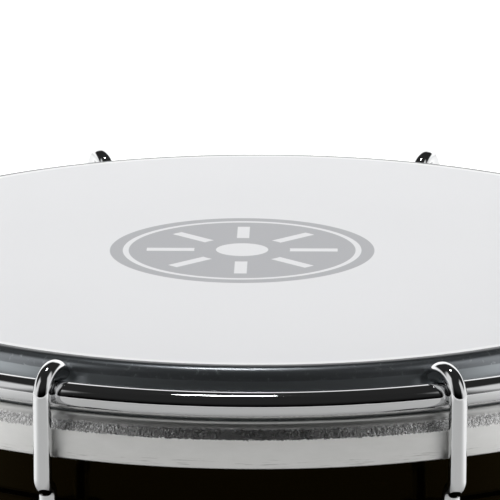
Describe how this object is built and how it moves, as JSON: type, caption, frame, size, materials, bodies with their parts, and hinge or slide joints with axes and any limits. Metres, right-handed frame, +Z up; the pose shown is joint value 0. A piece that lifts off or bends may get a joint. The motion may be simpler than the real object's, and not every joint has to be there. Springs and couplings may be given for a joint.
{
  "type": "frame drum",
  "caption": "Small single-headed frame drum: black moulded shell, crimped white-coated head, round-wire counter hoop, J-hook tension rods with lugs, washers and tuning nuts.",
  "frame": {"origin": "centre of the drum at the bottom rim of the shell", "axes": "+Z up along the drum's axis, from the open bottom to the playing surface; the hooks stand evenly about Z, half a space off +X"},
  "size_m": [0.166, 0.166, 0.0454],
  "materials": {
    "black_abs": "moulded gloss black",
    "coated_film": "polyester film with a white satin coating, left clear round the collar",
    "satin_aluminium": "drawn satin channel with a rough rolled crimp",
    "hoop_chrome": "polished chrome on round wire",
    "hook_chrome": "polished chrome on bent wire",
    "zinc_steel": "bright zinc"
  },
  "bodies": {
    "drum": {"shell": "black_abs", "head_film": "coated_film", "flesh_hoop": "satin_aluminium", "counter_hoop": "hoop_chrome", "lug_washer_1": "zinc_steel", "lug_washer_2": "zinc_steel", "lug_washer_3": "zinc_steel", "lug_washer_4": "zinc_steel", "lug_washer_5": "zinc_steel", "lug_washer_6": "zinc_steel", "lug_washer_7": "zinc_steel", "lug_washer_8": "zinc_steel"},
    "hook_1": {"tension_hook_1": "hook_chrome"},
    "nut_1": {"tuning_nut_1": "zinc_steel"},
    "hook_2": {"tension_hook_2": "hook_chrome"},
    "nut_2": {"tuning_nut_2": "zinc_steel"},
    "hook_3": {"tension_hook_3": "hook_chrome"},
    "nut_3": {"tuning_nut_3": "zinc_steel"},
    "hook_4": {"tension_hook_4": "hook_chrome"},
    "nut_4": {"tuning_nut_4": "zinc_steel"},
    "hook_5": {"tension_hook_5": "hook_chrome"},
    "nut_5": {"tuning_nut_5": "zinc_steel"},
    "hook_6": {"tension_hook_6": "hook_chrome"},
    "nut_6": {"tuning_nut_6": "zinc_steel"},
    "hook_7": {"tension_hook_7": "hook_chrome"},
    "nut_7": {"tuning_nut_7": "zinc_steel"},
    "hook_8": {"tension_hook_8": "hook_chrome"},
    "nut_8": {"tuning_nut_8": "zinc_steel"}
  },
  "joints": [
    {"name": "nut_spin_1", "type": "hinge", "parent": "drum", "child": "nut_1", "pos_m": [0.07664, 0.03174, 0.0081], "axis": [0, 0, -1], "range_deg": [0, 2161]},
    {"name": "hook_slide_1", "type": "slide", "parent": "drum", "child": "hook_1", "axis": [0, 0, 1], "range_m": [0, 0.003]},
    {"name": "nut_spin_2", "type": "hinge", "parent": "drum", "child": "nut_2", "pos_m": [0.03174, 0.07664, 0.0081], "axis": [0, 0, -1], "range_deg": [0, 2161]},
    {"name": "hook_slide_2", "type": "slide", "parent": "drum", "child": "hook_2", "axis": [0, 0, 1], "range_m": [0, 0.003]},
    {"name": "nut_spin_3", "type": "hinge", "parent": "drum", "child": "nut_3", "pos_m": [-0.03174, 0.07664, 0.0081], "axis": [0, 0, -1], "range_deg": [0, 2161]},
    {"name": "hook_slide_3", "type": "slide", "parent": "drum", "child": "hook_3", "axis": [0, 0, 1], "range_m": [0, 0.003]},
    {"name": "nut_spin_4", "type": "hinge", "parent": "drum", "child": "nut_4", "pos_m": [-0.07664, 0.03174, 0.0081], "axis": [0, 0, -1], "range_deg": [0, 2161]},
    {"name": "hook_slide_4", "type": "slide", "parent": "drum", "child": "hook_4", "axis": [0, 0, 1], "range_m": [0, 0.003]},
    {"name": "nut_spin_5", "type": "hinge", "parent": "drum", "child": "nut_5", "pos_m": [-0.07664, -0.03174, 0.0081], "axis": [0, 0, -1], "range_deg": [0, 2161]},
    {"name": "hook_slide_5", "type": "slide", "parent": "drum", "child": "hook_5", "axis": [0, 0, 1], "range_m": [0, 0.003]},
    {"name": "nut_spin_6", "type": "hinge", "parent": "drum", "child": "nut_6", "pos_m": [-0.03174, -0.07664, 0.0081], "axis": [0, 0, -1], "range_deg": [0, 2161]},
    {"name": "hook_slide_6", "type": "slide", "parent": "drum", "child": "hook_6", "axis": [0, 0, 1], "range_m": [0, 0.003]},
    {"name": "nut_spin_7", "type": "hinge", "parent": "drum", "child": "nut_7", "pos_m": [0.03174, -0.07664, 0.0081], "axis": [0, 0, -1], "range_deg": [0, 2161]},
    {"name": "hook_slide_7", "type": "slide", "parent": "drum", "child": "hook_7", "axis": [0, 0, 1], "range_m": [0, 0.003]},
    {"name": "nut_spin_8", "type": "hinge", "parent": "drum", "child": "nut_8", "pos_m": [0.07664, -0.03174, 0.0081], "axis": [0, 0, -1], "range_deg": [0, 2161]},
    {"name": "hook_slide_8", "type": "slide", "parent": "drum", "child": "hook_8", "axis": [0, 0, 1], "range_m": [0, 0.003]}
  ],
  "couplings": [
    {"joint": "nut_spin_1", "follows": "hook_slide_1", "rad_per_m": 12566},
    {"joint": "nut_spin_2", "follows": "hook_slide_2", "rad_per_m": 12566},
    {"joint": "nut_spin_3", "follows": "hook_slide_3", "rad_per_m": 12566},
    {"joint": "nut_spin_4", "follows": "hook_slide_4", "rad_per_m": 12566},
    {"joint": "nut_spin_5", "follows": "hook_slide_5", "rad_per_m": 12566},
    {"joint": "nut_spin_6", "follows": "hook_slide_6", "rad_per_m": 12566},
    {"joint": "nut_spin_7", "follows": "hook_slide_7", "rad_per_m": 12566},
    {"joint": "nut_spin_8", "follows": "hook_slide_8", "rad_per_m": 12566}
  ]
}
